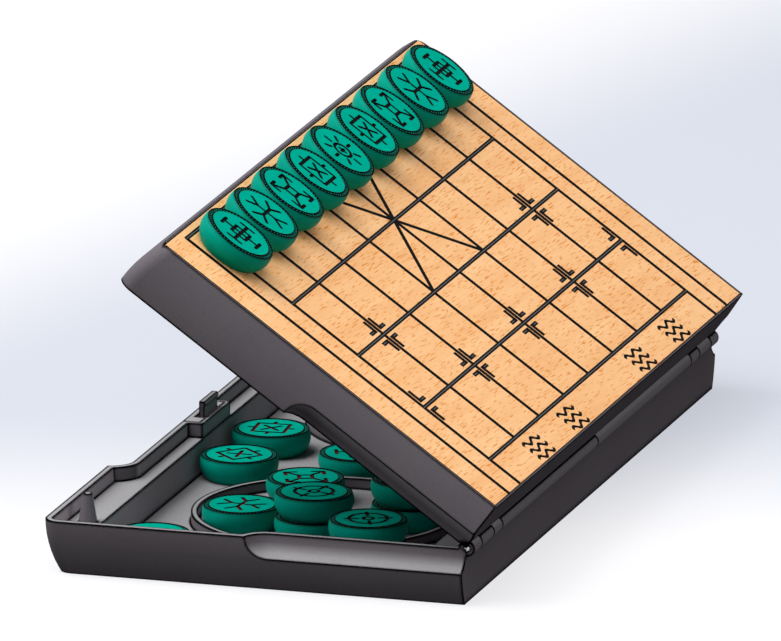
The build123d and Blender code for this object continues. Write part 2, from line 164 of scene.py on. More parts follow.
world = bpy.data.worlds.new("room")
bpy.context.scene.world = world
world.use_nodes = True
room = world.node_tree
room.nodes.clear()
dim = add(room, "ShaderNodeBackground", {"Color": "#f6f0f7", "Strength": ROOM_LIGHT})
pale = add(room, "ShaderNodeBackground", {"Color": "#eef0f5", "Strength": BACKDROP})
chosen = add(room, "ShaderNodeMixShader", {0: seen_rays(room), 1: dim, 2: pale})
add(room, "ShaderNodeOutputWorld", {"Surface": chosen})
print("room light", ROOM_LIGHT, "and backdrop", BACKDROP)

# %% [markdown]
# ## Table
# A pale sheet under the box. It shows nearly white, with a faint cool tint behind the box and a soft
# shadow of it. Most of what the camera sees of it is an even glow, so that lamps can't burn it out.
# Light that bounces off it is held back, so the box's walls aren't lit from below.

# %% Table
TABLE_HALF = 40.0  # metres, so that its edge is out of sight
TABLE_GLOW, TABLE_SHADOW = 0.98, 0.25  # the glow's strength, and the lamps' share in what is seen
# each band of the tint: a direction on the table, and where along it the band starts and is full
TINT_BANDS = (((-0.957, -0.29, 0.0), -0.09, 0.09), ((0.522, 1.722, 0.0), -0.52, -0.27))

table_mesh = bpy.data.meshes.new("table")
corners = [(x * TABLE_HALF, y * TABLE_HALF, 0) for x, y in ((-1, -1), (1, -1), (1, 1), (-1, 1))]
table_mesh.from_pydata(corners, [], [(0, 1, 2, 3)])
table = bpy.data.objects.new("table", table_mesh)
bpy.context.scene.collection.objects.link(table)

sheet = bpy.data.materials.new("pale_table_paper")
sheet.use_nodes = True
tree = sheet.node_tree
tree.nodes.clear()
place = add(tree, "ShaderNodeTexCoord").outputs["Object"]
# the tint starts behind the box, and ends again farther back, sooner on the left
shares = []
for direction, start, stop in TINT_BANDS:
    distance = add(tree, VECTOR_MATH, {0: place, 1: direction}, operation="DOT_PRODUCT")
    span = {"Value": distance, "From Min": start, "From Max": stop}
    shares.append(add(tree, "ShaderNodeMapRange", span, interpolation_type="SMOOTHSTEP"))
cool = add(tree, MATH, {0: shares[0], 1: shares[1]}, operation="MULTIPLY")
tones = add(tree, "ShaderNodeMix", {0: cool, 6: "#fbfbfd", 7: "#d8dce6"}, data_type="RGBA")
glow = add(tree, "ShaderNodeEmission", {"Color": tones, "Strength": TABLE_GLOW})
paper = add(tree, "ShaderNodeBsdfDiffuse", {"Color": tones})
shown = add(tree, "ShaderNodeMixShader", {0: TABLE_SHADOW, 1: glow, 2: paper})
held = add(tree, "ShaderNodeBsdfDiffuse", {"Color": "#3a3a3c"})
surface = add(tree, "ShaderNodeMixShader", {0: seen_rays(tree), 1: held, 2: shown})
add(tree, "ShaderNodeOutputMaterial", {"Surface": surface})
table_mesh.materials.append(sheet)
print("table is", 2 * TABLE_HALF, "m across")


# %% [markdown]
# ## Finishes
# Every finish starts from a real one. A material here has three layers of detail: the colour and
# how it drifts, the roughness and how it drifts, and a fine relief. Pictures wrapped round a shape
# would blur close up, so all of it is worked out in millimetres from the place on the object.

# %% A start for every finish
def finish(name, **sockets):
    """A new material with a Principled shader. Returns it, its tree, the shader and the place output."""
    made = bpy.data.materials.new(name)
    made.use_nodes = True
    tree = made.node_tree
    tree.nodes.clear()
    values = {key.replace("_", " "): value for key, value in sockets.items()}
    shader = add(tree, "ShaderNodeBsdfPrincipled", values)
    add(tree, "ShaderNodeOutputMaterial", {"Surface": shader})
    place = add(tree, "ShaderNodeTexCoord").outputs["Object"]
    return made, tree, shader, place


def grain(tree, place, size, detail=2.0, stretch=(1, 1, 1)):
    """Noise in blotches about size millimetres across, longer along an axis with a large stretch."""
    scale = [1 / (size * MM * s) for s in stretch]
    mapped = add(tree, "ShaderNodeMapping", {"Vector": place, "Scale": scale})
    return add(tree, "ShaderNodeTexNoise", {"Vector": mapped, "Scale": 1.0, "Detail": detail})


def paint(tree, under, over, value, start=0.35, end=0.65, most=1.0):
    """Lay one colour over another, more of it as a value goes from start to end, up to a share of most."""
    span = {"Value": value, "From Min": start, "From Max": end, "To Max": most}
    share = add(tree, "ShaderNodeMapRange", span)
    return add(tree, "ShaderNodeMix", {0: share, 6: under, 7: over}, data_type="RGBA")


def coat(tree, shader, colour, wear, rough, height, depth, strength, rise=(0.35, 0.65)):
    """Join the three layers: colour, roughness that follows wear, and relief of a depth in millimetres."""
    span = {"Value": wear, "From Min": rise[0], "From Max": rise[1], "To Min": rough[0], "To Max": rough[1]}
    roughness = add(tree, "ShaderNodeMapRange", span)
    bump = add(tree, "ShaderNodeBump", {"Height": height, "Distance": depth * MM, "Strength": strength})
    tree.links.new(colour.outputs[2], shader.inputs["Base Color"])
    tree.links.new(roughness.outputs[0], shader.inputs["Roughness"])
    tree.links.new(bump.outputs[0], shader.inputs["Normal"])


def edge_turn(tree, radius):
    """1 on faces and less along edges: how far a rounded edge of that radius would turn the surface."""
    soft = add(tree, "ShaderNodeBevel", {"Radius": radius * MM}, samples=8)
    true = add(tree, "ShaderNodeNewGeometry").outputs["Normal"]
    return add(tree, VECTOR_MATH, {0: soft, 1: true}, operation="DOT_PRODUCT")


# dark lines of shade are painted along edges and creases where the turn below is reached
EDGE = (0.975, 0.93)  # an edge line fades in between a turn of 13 degrees and one of 22
print("helpers for finishes are ready")

# %% [markdown]
# ### Textured ABS of the trays
# The trays are moulded from charcoal ABS in a spark-eroded mould. That leaves a fine, even, matt
# grain. The real grain is near 0.1 mm, too fine to show from here, so it is drawn at 0.45 mm. Thin
# dark lines of painted shade run along the edges and into the creases, and handling leaves faint
# cloudy patches. Faces that look out of a tray, such as its floor, ledges and rim, are painted paler
# as if lit from above, and so are its inner walls, which lie in shade. The knuckles of the hinge get
# a painted highlight.

# %% Places that the painted light depends on
LID_TILT = radians(35.2)
TO_MIDDLE = 63.0  # from the hinge to the middle of a tray
HINGE_LINE = Vector((0.0, 62.9987, 16.2)) * MM
base_middle = Vector((0.0, 0.0, 0.0))
lid_middle = HINGE_LINE + Vector((0.0, -cos(LID_TILT), sin(LID_TILT))) * TO_MIDDLE * MM
print("middle of the lid at", [round(value, 4) for value in lid_middle])


# %% [markdown]
# Where paler colour is painted in as light depends on where a face is and on which way it looks.
# Both trays share one recipe, which is told the side that the tray opens to and where its middle is.

# %% Tray plastic
def tray_plastic(name, open_side, middle, wall_tone, wall_patch, lit_tone):
    """Charcoal ABS with a matt spark grain. Paler tones are painted in as light inside its tray and on its
    knuckles, and dark lines of painted shade along its edges.
    """
    made, tree, shader, place = finish(name, Specular_IOR_Level=0.0)
    normal = place.node.outputs["Normal"]
    clouds = grain(tree, place, 28.0, 3.0)
    walls = paint(tree, wall_tone, wall_patch, clouds, 0.3, 0.7)
    # inner walls look back towards the tray's middle, from 30 mm and more away, and are painted paler as if
    # lit, though they lie in shade
    from_middle = add(tree, VECTOR_MATH, {0: place, 1: middle}, operation="SUBTRACT")
    outward = add(tree, VECTOR_MATH, {0: normal, 1: from_middle}, operation="DOT_PRODUCT")
    inner_walls_lit = paint(tree, walls, "#aaa2a9", outward, -30.0 * MM, -45.0 * MM)
    # a knuckle is near the hinge line, and its surface looks straight away from that line; the lit tone there
    # is a painted highlight
    from_hinge = add(tree, VECTOR_MATH, {0: place, 1: HINGE_LINE}, operation="SUBTRACT")
    around = add(tree, VECTOR_MATH, {0: from_hinge, 1: (0, 1, 1)}, operation="MULTIPLY")
    reach = add(tree, VECTOR_MATH, {0: around}, operation="LENGTH")
    radial = add(tree, VECTOR_MATH, {0: normal, 1: around}, operation="DOT_PRODUCT")
    near_pin = paint(tree, inner_walls_lit, lit_tone, reach, 3.9 * MM, 3.7 * MM, 0.7)
    knuckles_lit = paint(tree, inner_walls_lit, near_pin, radial, 2.0 * MM, 2.6 * MM)
    # floors, ledges and rims look out of the open side, and get the lit tone: light painted into their colour
    facing = add(tree, VECTOR_MATH, {0: normal, 1: open_side}, operation="DOT_PRODUCT")
    body = paint(tree, knuckles_lit, lit_tone, facing, 0.35, 0.75)
    sparks = grain(tree, place, 0.45, 2.0)
    speckled = paint(tree, body, "#060506", sparks, 0.5, 0.75, 0.16)
    # thin dark lines of painted shade along the edges and in the creases
    colour = paint(tree, speckled, "#060506", edge_turn(tree, 1.8), *EDGE)
    coat(tree, shader, colour, clouds, (0.54, 0.66), sparks, 0.03, 0.35)
    return made


base_open = Vector((0.0, 0.0, 1.0))
lid_open = Vector((0.0, -sin(LID_TILT), -cos(LID_TILT)))
# the third tone of each is the lit tone, painted on faces that look out of a tray and on the knuckles
charcoal, latch_charcoal = ("#6b676b", "#676267", "#9b9a9c"), ("#686468", "#635f64", "#949395")
base_finish = tray_plastic("spark_grained_abs_base", base_open, base_middle, *charcoal)
lid_finish = tray_plastic("spark_grained_abs_lid", lid_open, lid_middle, *charcoal)
latch_finish = tray_plastic("spark_grained_abs_latch", base_open, base_middle, *latch_charcoal)
print(base_finish.name, lid_finish.name, latch_finish.name)

# %% [markdown]
# ### Beech of the board
# Beech is pale orange-tan with short darker dashes, the ends of its rays, 3 to 6 mm long and a
# third of a millimetre wide. They all run along the grain, which here runs along the hinge. The
# wood is sanded and given one thin coat of satin lacquer, so the relief is slight. A wood texture
# with rings would show bands, but dashes need stretched noise, cut off near its peaks.

# %% Beech
beech_finish, tree, shader, place = finish("lacquered_beech", Specular_IOR_Level=0.04)
# a sawn board's grain is never quite true to its edge
turned = add(tree, "ShaderNodeMapping", {"Vector": place, "Rotation": (0.0, 0.0, radians(3.0))})
bands = grain(tree, turned, 5.0, 3.0, (14, 1, 1))
fibres = grain(tree, turned, 0.5, 2.0, (40, 1, 1))
broad = paint(tree, "#f8c68f", "#f0b67b", bands, 0.32, 0.68)
fine = paint(tree, broad, "#e2a468", fibres, most=0.22)
dashes = grain(tree, turned, 0.34, 0.0, (13, 1, 1))
where = grain(tree, turned, 9.0, 2.0, (1.6, 1, 1))
# dashes stand closer together in some places than in others
span = {"Value": where, "From Min": 0.35, "From Max": 0.65, "To Min": -0.03, "To Max": 0.03}
denser = add(tree, "ShaderNodeMapRange", span)
level = add(tree, MATH, {0: denser, 1: dashes}, operation="ADD")
flecked = paint(tree, fine, "#da8530", level, 0.66, 0.72, 0.85)
# thin dark lines of painted shade along the board's edges and the rims of its grooves
colour = paint(tree, flecked, "#120c08", edge_turn(tree, 0.3), *EDGE)
coat(tree, shader, colour, level, (0.46, 0.579), fibres, 0.02, 0.3, rise=(0.66, 0.72))
print(beech_finish.name)

# %% [markdown]
# ### Inks, teal plastic and metals
# The board's lines and the pieces' marks are cut and then filled with enamel: black for one side,
# deep red for the other. Along the ranks the black is rubbed grey in the middle of a line.

# %% Enamels
def enamel(name, tone, worn, roughness):
    """Filled enamel: nearly flat, with brush marks of 0.6 mm and slightly rubbed high spots."""
    made, tree, shader, place = finish(name, Specular_IOR_Level=0.01)
    strokes = grain(tree, place, 0.6, 3.0)
    colour = paint(tree, tone, worn, strokes)
    coat(tree, shader, colour, strokes, (roughness - 0.08, roughness + 0.08), strokes, 0.02, 0.25)
    return made


black_enamel = enamel("black_enamel_fill", "#060606", "#101010", 0.5)
grey_enamel = enamel("rubbed_black_enamel", "#626264", "#565659", 0.55)
red_enamel = enamel("deep_red_enamel_fill", "#5e060c", "#430408", 0.45)
print(black_enamel.name, grey_enamel.name, red_enamel.name)


# %% [markdown]
# The pieces are moulded in teal ABS and tumbled to a soft satin. Their top faces are rubbed matt and
# painted a little brighter, as if lit, and sharp edges get dark lines of painted shade, so the sides
# and the top faces get a finish each.

# %% Teal ABS
def teal_abs(name, tone, patch, pitted, gloss, edge_radius):
    """Teal ABS with patches of 6 mm and pits drawn at 0.4 mm to show. A radius gives it dark lines of painted
    shade along its edges.
    """
    made, tree, shader, place = finish(name, Specular_IOR_Level=gloss)
    clouds = grain(tree, place, 6.0, 3.0)
    pits = grain(tree, place, 0.4, 2.0)
    body = paint(tree, tone, patch, clouds, 0.3, 0.7)
    colour = paint(tree, body, pitted, pits, 0.55, 0.75, 0.25)
    if edge_radius:
        # dark lines of painted shade along the edges
        colour = paint(tree, colour, "#020d0b", edge_turn(tree, edge_radius), *EDGE)
    coat(tree, shader, colour, clouds, (0.34, 0.46), pits, 0.02, 0.3)
    return made


teal_finish = teal_abs("tumbled_abs_teal", "#009580", "#008d79", "#006b5c", 0.02, 1.5)
# the top face is painted lighter than the sides, as a lit face beside shaded ones; the beads share it
lit_teal_face = teal_abs("abs_teal_face_painted_lit", "#00a68e", "#009e86", "#007c6b", 0.0, 0.0)
print(teal_finish.name, lit_teal_face.name)


# %% [markdown]
# Pins and the sheets behind the panels are plated steel, the latch spring is blued, and the magnets
# are nickel. A metal's look is its tone, and the fine lines that drawing or rolling leaves.

# %% Plated metals
def plated(name, tone, shade, size, stretch, roughness):
    """A plated metal with fine drawn or rolled lines."""
    made, tree, shader, place = finish(name, Metallic=1.0)
    lines = grain(tree, place, size, 3.0, stretch)
    colour = paint(tree, tone, shade, lines)
    coat(tree, shader, colour, lines, (roughness - 0.07, roughness + 0.07), lines, 0.01, 0.3)
    return made


pin_steel = plated("drawn_pin_steel", "#b9bbbe", "#9b9da1", 0.25, (12, 1, 1), 0.32)
sheet_steel = plated("rolled_tin_plate", "#c3c6c9", "#a9acb0", 0.5, (16, 1, 1), 0.38)
spring_steel = plated("blued_spring_steel", "#6f7684", "#555b68", 0.2, (8, 1, 1), 0.3)
nickel = plated("nickel_plate", "#cbc6ba", "#b3aea2", 0.5, (1, 1, 1), 0.25)
print(len(bpy.data.materials), "materials so far")

# %% [markdown]
# ## Finishes on the solids that stay
# The mouldings, panels, pins and latch already have their true shape, so they only get a finish.

# %% Dress the solids
dressing = {
    "base_shell": base_finish, "lid_shell": lid_finish, "latch_housing": base_finish,
    "latch_lever": latch_finish, "latch_pin": pin_steel, "latch_spring": spring_steel,
    "hinge_pin_near": pin_steel, "hinge_pin_far": pin_steel,
    "base_board": beech_finish, "lid_board": beech_finish,
    "base_steel_sheet": sheet_steel, "lid_steel_sheet": sheet_steel,
}
for name, material in dressing.items():
    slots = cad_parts[name].material_slots
    for slot in slots:
        slot.material = material
    print(name, "has", len(slots), "slot")


# %% [markdown]
# ## Geometry Nodes: a start
# Whatever repeats or follows a rule comes from a small Geometry Nodes tree with named sizes. Each
# tree gets a plain mesh to start from, and what it makes is turned back into a plain mesh.

# %% Tree helpers
# kinds of input
FLOAT, INT, VECTOR = "NodeSocketFloat", "NodeSocketInt", "NodeSocketVector"
OBJECT, MATERIAL = "NodeSocketObject", "NodeSocketMaterial"
# kinds of node: three numbers to one place, and sums with whole numbers
COMBINE, WHOLE = "ShaderNodeCombineXYZ", "FunctionNodeIntegerMath"


def new_tree(name, **inputs):
    """A Geometry Nodes tree with a geometry in and out, and an input of the given kind for each name."""
    tree = bpy.data.node_groups.new(name, "GeometryNodeTree")
    for way in ("INPUT", "OUTPUT"):
        tree.interface.new_socket("Geometry", in_out=way, socket_type="NodeSocketGeometry")
    for title, kind in inputs.items():
        tree.interface.new_socket(title, in_out="INPUT", socket_type=kind)
    return tree, tree.nodes.new("NodeGroupInput").outputs


def close_tree(tree, geometry, material):
    """Make instances real, set the finish and send the result out."""
    real = add(tree, "GeometryNodeRealizeInstances", {0: geometry})
    dressed = add(tree, "GeometryNodeSetMaterial", {"Geometry": real, "Material": material})
    add(tree, "NodeGroupOutput", {0: dressed})
    print(tree.name, "has", len(tree.nodes), "nodes")


def grow(name, start, tree, **values):
    """Run a tree on a mesh, with its inputs set by name, and return the plain mesh that comes out."""
    holder = bpy.data.objects.new(name, start)
    bpy.context.scene.collection.objects.link(holder)
    modifier = holder.modifiers.new(name, "NODES")
    modifier.node_group = tree
    for item in tree.interface.items_tree:
        if item.in_out == "INPUT" and item.name in values:
            modifier[item.identifier] = values[item.name]
    bpy.context.view_layer.update()
    solved = holder.evaluated_get(bpy.context.evaluated_depsgraph_get())
    made = bpy.data.meshes.new_from_object(solved)
    holder.modifiers.remove(modifier)
    bpy.data.objects.remove(holder)
    made.name = name
    return made


print("tree helpers are ready")


# %% [markdown]
# A plain mesh comes from points in millimetres, and most are stacks of rings, such as the two ends
# of a bar, whose faces all look outwards. Round things in trees share one sum for their angles.

# %% Mesh and angle helpers
def mesh_of(name, points, faces=()):
    """A plain mesh from points in millimetres."""
    mesh = bpy.data.meshes.new(name)
    mesh.from_pydata([[value * MM for value in point] for point in points], [], list(faces))
    return mesh


def stack_faces(count, levels=2, first=0):
    """Faces that close a stack of rings of count points each, from the lowest ring to the highest."""
    top = first + count * (levels - 1)
    ends = [tuple(range(first + count - 1, first - 1, -1)), tuple(range(top, top + count))]
    pairs = [(ring, i, (i + 1) % count) for ring in range(first, top, count) for i in range(count)]
    return ends + [(ring + i, ring + j, ring + j + count, ring + i + count) for ring, i, j in pairs]


def round_turn(tree, step, count):
    """The angle of a step, where count steps make a full round."""
    swept = add(tree, MATH, {0: step, 1: 2 * pi}, operation="MULTIPLY")
    return add(tree, MATH, {0: swept, 1: count}, operation="DIVIDE")


print("a cube has", len(stack_faces(4)), "faces")

# %% [markdown]
# ## Turned bodies
# A playing piece is round, like something made on a lathe. Its outline is a row of points, from
# the middle of the foot, up the side, to the middle of the top. The tree lays a grid with one
# column for each step round the axis, turns every column's outline to its own angle and closes the
# seams. A Spin or a Screw modifier could do the same, but here the steps and finish stay inputs.

# %% Turned body tree
turning, given = new_tree("turned_body", steps=INT, finish=MATERIAL)
count = add(turning, "GeometryNodeAttributeDomainSize", {0: given["Geometry"]})
columns = add(turning, MATH, {0: given["steps"], 1: 1.0}, operation="ADD")
grid = add(turning, "GeometryNodeMeshGrid", {"Vertices X": columns, "Vertices Y": count})
number = add(turning, "GeometryNodeInputIndex")
column = add(turning, WHOLE, {0: number, 1: count}, operation="DIVIDE_FLOOR")
row = add(turning, WHOLE, {0: number, 1: count}, operation="MODULO")
spot = add(turning, "GeometryNodeInputPosition")
outline = add(
    turning, "GeometryNodeSampleIndex", {"Geometry": given["Geometry"], "Value": spot, "Index": row},
    data_type="FLOAT_VECTOR",
)
angle = round_turn(turning, column, given["steps"])
spun = add(
    turning, "ShaderNodeVectorRotate", {"Vector": outline, "Angle": angle}, rotation_type="Z_AXIS"
)
moved = add(turning, "GeometryNodeSetPosition", {"Geometry": grid, "Position": spun})
closed = add(turning, "GeometryNodeMergeByDistance", {"Geometry": moved, "Distance": 0.001 * MM})
close_tree(turning, closed, given["finish"])

# %% [markdown]
# The side of a piece is a barrel curve through its foot, waist and top, a circle through three
# points. Near the top edge there is a shallow ring groove for the beads, and the foot has a round
# pocket for the magnet.

# %% Sizes and side of a piece
PIECE_HEIGHT = 7.2
FOOT, WAIST, WAIST_HEIGHT, TOP = 9.2, 11.5, 4.0, 11.05
RING_INNER, RING_OUTER, RING_DEPTH = 9.8, 10.85, 0.3
RING_LINE = 0.35  # width of the black line on the top face, just inside the ring groove
MAGNET_RADIUS, MAGNET_DEPTH = 5.0, 2.0
PLAY, BEVEL = 0.05, 0.15  # room round the magnet, and the bevel of the foot and of the magnet
SLACK = 0.05  # tolerance where a face is told by its height
groove_floor = PIECE_HEIGHT - RING_DEPTH


def circle_through(a, b, c):
    """Centre and radius of the circle through three points of a plane."""
    twice = 2 * (a[0] * (b[1] - c[1]) + b[0] * (c[1] - a[1]) + c[0] * (a[1] - b[1]))
    squares = [p[0] ** 2 + p[1] ** 2 for p in (a, b, c)]
    x = (squares[0] * (b[1] - c[1]) + squares[1] * (c[1] - a[1]) + squares[2] * (a[1] - b[1])) / twice
    y = (squares[0] * (c[0] - b[0]) + squares[1] * (a[0] - c[0]) + squares[2] * (b[0] - a[0])) / twice
    return x, y, hypot(a[0] - x, a[1] - y)


def barrel_side(steps=12, start=0.03, stop=0.97):
    """Points up the side of a piece, just short of both of its edges."""
    x, y, radius = circle_through((FOOT, 0), (WAIST, WAIST_HEIGHT), (TOP, PIECE_HEIGHT))
    low, high = atan2(-y, FOOT - x), atan2(PIECE_HEIGHT - y, TOP - x)
    turns = [low + (high - low) * (start + (stop - start) * i / steps) for i in range(steps + 1)]
    return [(x + radius * cos(t), y + radius * sin(t)) for t in turns]


print("side of a piece:", len(barrel_side()), "points")

# %% [markdown]
# The blank is a piece without its mark. Its faces are inked by where they are: black in the ring
# groove and on the line inside it, and the teal that is painted lighter, as if lit, on the top. The
# magnet is a plain disc.

# %% Blank and magnet
pocket_top = MAGNET_DEPTH + PLAY
pocket = [(0, pocket_top), (MAGNET_RADIUS + PLAY, pocket_top), (MAGNET_RADIUS + PLAY, 0)]
rim = [
    (TOP - 0.1, PIECE_HEIGHT),
    (RING_OUTER, PIECE_HEIGHT),
    (RING_OUTER, groove_floor),
    (RING_INNER, groove_floor),
    (RING_INNER, PIECE_HEIGHT - 0.05),  # the groove's inner edge is broken a little
    (RING_INNER - 0.06, PIECE_HEIGHT),
    (RING_INNER - RING_LINE, PIECE_HEIGHT),
    (0, PIECE_HEIGHT),
]
outline_points = pocket + [(FOOT - BEVEL, 0)] + barrel_side() + rim
outline_mesh = mesh_of("outline", [(r, 0, z) for r, z in outline_points])
blank = grow("blank", outline_mesh, turning, steps=72, finish=teal_finish)
blank.materials.append(black_enamel)
blank.materials.append(lit_teal_face)
ring_ink, top_face = len(blank.materials) - 2, len(blank.materials) - 1
for face in blank.polygons:
    reach, height = hypot(face.center.x, face.center.y) / MM, face.center.z / MM
    if RING_INNER - RING_LINE < reach < TOP and height > groove_floor - SLACK:
        face.material_index = ring_ink
    elif reach < RING_INNER and face.normal.z > 0.9 and height > groove_floor:  # it looks up
        face.material_index = top_face

magnet_points = [
    (0, 0), (MAGNET_RADIUS - BEVEL, 0), (MAGNET_RADIUS, BEVEL), (MAGNET_RADIUS, MAGNET_DEPTH),
    (0, MAGNET_DEPTH),
]
magnet_mesh = mesh_of("magnet", [(r, 0, z) for r, z in magnet_points])
magnet = grow("magnet", magnet_mesh, turning, steps=48, finish=nickel)
print("blank has", len(blank.polygons), "faces, magnet", len(magnet.polygons))

# %% [markdown]
# ## Beaded ring
# Two rows of tiny beads stand in the black ring groove, as on a coin's rim. They are about a third
# of a millimetre across and half sunk in the groove's floor. The tree places points on circles, row
# by row, each row half a step on, and sets a coarse ball on every point, because the balls on 32
# pieces add up.

# %% Beaded ring
beading, given = new_tree(
    "beaded_ring", in_a_row=INT, rows=INT, first_radius=FLOAT, row_step=FLOAT, bead_radius=FLOAT,
    height=FLOAT, finish=MATERIAL,
)
total = add(beading, MATH, {0: given["in_a_row"], 1: given["rows"]}, operation="MULTIPLY")
number = add(beading, "GeometryNodeInputIndex")
row = add(beading, WHOLE, {0: number, 1: given["in_a_row"]}, operation="DIVIDE_FLOOR")
step = add(beading, MATH, {0: row, 1: 0.5, 2: number}, operation="MULTIPLY_ADD")
reach = add(
    beading, MATH, {0: row, 1: given["row_step"], 2: given["first_radius"]}, operation="MULTIPLY_ADD"
)
start = add(beading, COMBINE, {"X": reach, "Z": given["height"]})
angle = round_turn(beading, step, given["in_a_row"])
spot = add(beading, "ShaderNodeVectorRotate", {"Vector": start, "Angle": angle}, rotation_type="Z_AXIS")
points = add(beading, "GeometryNodePoints", {"Count": total, "Position": spot})
ball = add(
    beading, "GeometryNodeMeshUVSphere", {"Segments": 6, "Rings": 4, "Radius": given["bead_radius"]}
)
beads = add(beading, "GeometryNodeInstanceOnPoints", {"Points": points, "Instance": ball})
close_tree(beading, beads, given["finish"])

bead_ring = grow(
    "bead_ring", bpy.data.meshes.new("nothing"), beading, in_a_row=58, rows=2, first_radius=10.1 * MM,
    row_step=0.45 * MM, bead_radius=0.17 * MM, height=groove_floor * MM, finish=lit_teal_face,
)
print("bead ring has", len(bead_ring.polygons), "faces")


# %% [markdown]
# ## Marks on the pieces
# A real set names its pieces in writing. Here each kind has a plain sign instead that hints at how
# it moves: a cross for the one that runs straight, forks for the one that jumps, corners for the
# one that crosses diagonals, a small crossed square for the guard, a sun for the leader, a target
# for the gun and chevrons for the foot soldier. A sign is a set of pen strokes.

# %% Strokes of the marks
def spun_four(*stroke):
    """The same stroke at four quarter turns."""
    turns = [(cos(a), sin(a)) for a in (0, pi / 2, pi, -pi / 2)]
    return [[(x * c - y * s, x * s + y * c) for x, y in stroke] for c, s in turns]


def round_stroke(radius, sides=20):
    """A closed circle as one stroke."""
    return [(radius * cos(2 * pi * i / sides), radius * sin(2 * pi * i / sides)) for i in range(sides + 1)]


def square_stroke(half):
    """A closed square as one stroke."""
    return [(-half, -half), (half, -half), (half, half), (-half, half), (-half, -half)]


rays = [[(r * cos(i * pi / 4), r * sin(i * pi / 4)) for r in (4.4, 6.5)] for i in range(8)]
chevrons = [[(-4.6, -0.2), (0, 5.2), (4.6, -0.2)], [(-4.6, -4.4), (0, 1.0), (4.6, -4.4)]]
marks = {
    "chariot": spun_four((0, 0), (0, 6.2)) + spun_four((-2.3, 6.2), (2.3, 6.2)) + [square_stroke(2.5)],
    "horse": spun_four((0, 0), (0, 3.1), (-2.5, 6.3)) + spun_four((0, 3.1), (2.5, 6.3)),
    "elephant": [square_stroke(1.9)]
    + spun_four((1.9, 1.9), (5.0, 5.0))
    + spun_four((2.4, 5.6), (5.6, 5.6), (5.6, 2.4)),
    "advisor": [square_stroke(4.7), [(-2.4, -2.4), (2.4, 2.4)], [(-2.4, 2.4), (2.4, -2.4)]]
    + spun_four((0, 4.7), (0, 6.6)),
    "general": [round_stroke(2.9), [(-1.1, 0), (1.1, 0)], [(0, -1.1), (0, 1.1)]] + rays,
    "cannon": [round_stroke(5.6, 28), round_stroke(1.5, 12)] + spun_four((0, 3.0), (0, 6.7)),
    "soldier": chevrons + [[(-2.6, -6.0), (2.6, -6.0)]],
}
print("marks:", {kind: len(strokes) for kind, strokes in marks.items()})

# %% [markdown]
# Each stroke becomes a row of bars with round ends, a little wider at the top than at the bottom,
# as a cutter leaves them. A tree subtracts the bars from the blank. The walls and floor of the cut
# take the cutter's own materials: black on the walls, and the side's own enamel on the floor.

# %% Cutters
STROKE_WIDTH, FLOOR_WIDTH, STROKE_DEPTH = 1.4, 0.7, 0.35
CUTTER_RISE = 0.2  # how far the cutter stands out of the top face
HALF_ROUND = 5  # flats in the round end of a bar


def cutter_mesh(name, strokes, ink):
    """Bars with round ends for each run of each stroke, from the cut's floor to above the top face."""
    points, faces = [], []
    floor_level, top_level = PIECE_HEIGHT - STROKE_DEPTH, PIECE_HEIGHT + CUTTER_RISE
    for stroke in strokes:
        for (x0, y0), (x1, y1) in zip(stroke, stroke[1:]):
            heading = atan2(y1 - y0, x1 - x0)
            fan = [pi * i / HALF_ROUND for i in range(HALF_ROUND + 1)]
            ring = [(x1, y1, heading - pi / 2 + t) for t in fan]
            ring += [(x0, y0, heading + pi / 2 + t) for t in fan]
            faces += stack_faces(len(ring), first=len(points))
            for level, width in ((floor_level, FLOOR_WIDTH), (top_level, STROKE_WIDTH)):
                points += [(x + width / 2 * cos(t), y + width / 2 * sin(t), level) for x, y, t in ring]
    mesh = mesh_of(name, points, faces)
    mesh.materials.append(black_enamel)
    mesh.materials.append(ink)
    for face in mesh.polygons:
        face.material_index = 1 if face.normal.z < -0.9 else 0
    return mesh


cutting, given = new_tree("engraving", cutter=OBJECT)
tool = add(cutting, "GeometryNodeObjectInfo", {"Object": given["cutter"]}).outputs["Geometry"]
cut = add(
    cutting, "GeometryNodeMeshBoolean",
    {"Mesh 1": given["Geometry"], "Mesh 2": tool, "Self Intersection": True},
    operation="DIFFERENCE", solver="EXACT",
)
# the cut keeps the blank's and the cutter's finishes, so this tree sets none
add(cutting, "NodeGroupOutput", {0: add(cutting, "GeometryNodeRealizeInstances", {0: cut})})
print(cutting.name, "has", len(cutting.nodes), "nodes")


# %% [markdown]
# A mark is cut once for each kind and side. The blank, its beads and its magnet are then joined to
# one mesh, which every piece of that kind copies.

# %% Finished pieces
def engraved(kind, ink):
    """The blank with a kind's mark cut into its top."""
    cutter = bpy.data.objects.new("cutter", cutter_mesh("cutter_" + kind, marks[kind], ink))
    bpy.context.scene.collection.objects.link(cutter)
    mesh = grow("engraved_" + kind, blank, cutting, cutter=cutter)
    bpy.data.objects.remove(cutter)
    return mesh


def joined(name, meshes):
    """One mesh from several, with their materials kept. Empty slots take the first material."""
    slots = {}
    build = bmesh.new()
    for mesh in meshes:
        places = [slots.setdefault(made, len(slots)) if made else 0 for made in mesh.materials]
        first = len(build.faces)
        build.from_mesh(mesh)
        build.faces.ensure_lookup_table()
        for face in build.faces[first:]:
            face.material_index = places[face.material_index]
    result = bpy.data.meshes.new(name)
    build.to_mesh(result)
    build.free()
    for made in slots:
        result.materials.append(made)
    return result


templates = {}
for side, ink in (("black", black_enamel), ("red", red_enamel)):
    for kind in marks:
        templates[side, kind] = joined(f"{side}_{kind}", [engraved(kind, ink), bead_ring, magnet])
        print(side, kind, len(templates[side, kind].polygons), "faces")

# %% [markdown]
# ## Setting the pieces out
# Every piece stands exactly where its solid does. Pieces in the tray stand upright, and pieces on
# the lid lean with it. The seat is read from the solid's own box, measured in the tray's upright
# axes or in the lid's leaning ones. Loose pieces in the tray have fallen any way round.

